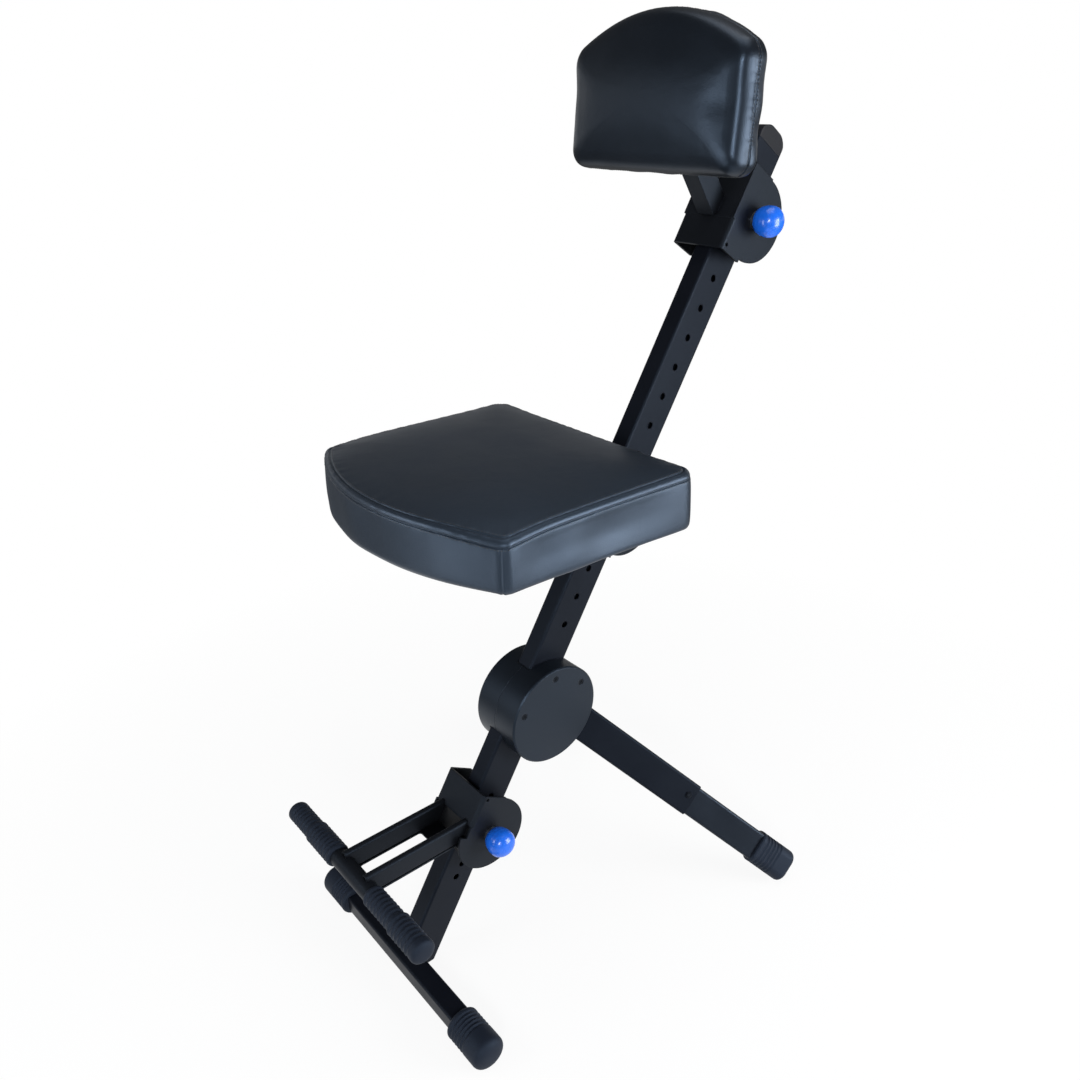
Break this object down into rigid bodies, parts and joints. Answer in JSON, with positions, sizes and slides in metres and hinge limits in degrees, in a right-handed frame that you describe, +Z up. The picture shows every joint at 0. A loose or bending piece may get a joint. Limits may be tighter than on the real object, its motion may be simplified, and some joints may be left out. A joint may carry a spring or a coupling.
{
  "type": "musician chair",
  "caption": "Height-adjustable musician chair: leaning slotted column with sliding seat, backrest and footrest collars, folding rear legs and pull knobs.",
  "frame": {"origin": "centre of the bounding box at floor level", "axes": "+Z up, the sitter faces -Y, +X is the sitter's left, where the pull knobs are"},
  "size_m": [0.5562, 0.7996, 1.2677],
  "materials": {
    "black_powder_coat": "fine textured black powder coat",
    "extension_steel": "smooth black coat",
    "hub_cover_coat": "satin black, bright turned rim",
    "black_rubber": "moulded, ribbed",
    "cap_plastic": "moulded black",
    "glide_nylon": "moulded black nylon",
    "blue_knob": "satin blue",
    "seat_cover": "fine grained vinyl with a sewn edge",
    "backrest_cover": "fine grained vinyl with a sewn edge",
    "plywood": "plain plywood",
    "black_screw": "blackened steel",
    "zinc_steel": "zinc plated"
  },
  "bodies": {
    "frame": {"column": "black_powder_coat", "column_top_cap": "cap_plastic", "front_crossbar": "black_powder_coat", "crossbar_boot_left": "black_rubber", "crossbar_boot_right": "black_rubber", "pivot_plate_left": "black_powder_coat", "pivot_plate_right": "black_powder_coat", "pivot_stud_left": "zinc_steel", "pivot_stud_right": "zinc_steel", "hub_cover_left": "hub_cover_coat", "hub_cover_right": "hub_cover_coat", "hub_cover_screws": "black_screw"},
    "rear_legs": {"leg_yoke": "black_powder_coat", "rear_leg_left": "black_powder_coat", "rear_leg_right": "black_powder_coat"},
    "left_leg_extension": {"leg_extension_left": "extension_steel", "leg_boot_left": "black_rubber"},
    "right_leg_extension": {"leg_extension_right": "extension_steel", "leg_boot_right": "black_rubber"},
    "left_leg_plunger": {"leg_plunger_left": "black_screw"},
    "right_leg_plunger": {"leg_plunger_right": "black_screw"},
    "footrest": {"footrest_collar": "black_powder_coat", "footrest_glide": "glide_nylon", "footrest_yoke": "black_powder_coat", "footrest_rail_left": "black_powder_coat", "footrest_rail_right": "black_powder_coat", "footrest_bar": "black_powder_coat", "footrest_grip_left": "black_rubber", "footrest_grip_right": "black_rubber", "footrest_barrel": "zinc_steel", "footrest_spring": "zinc_steel"},
    "footrest_pull": {"footrest_pin": "zinc_steel", "footrest_knob": "blue_knob"},
    "seat": {"seat_collar": "black_powder_coat", "seat_glide": "glide_nylon", "seat_yoke": "black_powder_coat", "seat_arm_left": "black_powder_coat", "seat_arm_right": "black_powder_coat", "seat_plate": "black_powder_coat", "seat_board": "plywood", "seat_cushion": "seat_cover", "seat_screws": "zinc_steel", "seat_barrel": "zinc_steel", "seat_spring": "zinc_steel"},
    "seat_pull": {"seat_pin": "zinc_steel", "seat_knob": "blue_knob"},
    "backrest": {"backrest_collar": "black_powder_coat", "backrest_glide": "glide_nylon", "backrest_bracket": "black_powder_coat", "backrest_board": "plywood", "backrest_cushion": "backrest_cover", "backrest_screws": "zinc_steel", "backrest_barrel": "zinc_steel", "backrest_spring": "zinc_steel"},
    "backrest_pull": {"backrest_pin": "zinc_steel", "backrest_knob": "blue_knob"}
  },
  "joints": [
    {"name": "rear_leg_fold", "type": "hinge", "parent": "frame", "child": "rear_legs", "pos_m": [0, -0.05677, 0.36645], "axis": [-1, 0, 0], "range_deg": [0, 55]},
    {"name": "left_leg_level", "type": "slide", "parent": "rear_legs", "child": "left_leg_extension", "axis": [0.5299, 0.5496, -0.6458], "range_m": [0, 0.06]},
    {"name": "left_leg_plunger_pull", "type": "slide", "parent": "rear_legs", "child": "left_leg_plunger", "axis": [0.848, -0.3435, 0.4036], "range_m": [0, 0.004], "stiffness_N_per_m": 2000, "springref_m": -0.004},
    {"name": "right_leg_level", "type": "slide", "parent": "rear_legs", "child": "right_leg_extension", "axis": [-0.5299, 0.5496, -0.6458], "range_m": [0, 0.06]},
    {"name": "right_leg_plunger_pull", "type": "slide", "parent": "rear_legs", "child": "right_leg_plunger", "axis": [-0.848, -0.3435, 0.4036], "range_m": [0, 0.004], "stiffness_N_per_m": 2000, "springref_m": -0.004},
    {"name": "footrest_height", "type": "slide", "parent": "frame", "child": "footrest", "axis": [0, 0.5255, 0.8508], "range_m": [-0.09, 0.045]},
    {"name": "footrest_knob_pull", "type": "slide", "parent": "footrest", "child": "footrest_pull", "axis": [1, 0, 0], "range_m": [0, 0.006], "stiffness_N_per_m": 1500, "springref_m": -0.004, "deforming": ["footrest_spring"]},
    {"name": "seat_height", "type": "slide", "parent": "frame", "child": "seat", "axis": [0, 0.5255, 0.8508], "range_m": [-0.13425, 0.13425]},
    {"name": "seat_knob_pull", "type": "slide", "parent": "seat", "child": "seat_pull", "axis": [1, 0, 0], "range_m": [0, 0.006], "stiffness_N_per_m": 1500, "springref_m": -0.004, "deforming": ["seat_spring"]},
    {"name": "backrest_height", "type": "slide", "parent": "frame", "child": "backrest", "axis": [0, 0.5255, 0.8508], "range_m": [-0.22375, 0.04475]},
    {"name": "backrest_knob_pull", "type": "slide", "parent": "backrest", "child": "backrest_pull", "axis": [1, 0, 0], "range_m": [0, 0.006], "stiffness_N_per_m": 1500, "springref_m": -0.004, "deforming": ["backrest_spring"]}
  ]
}
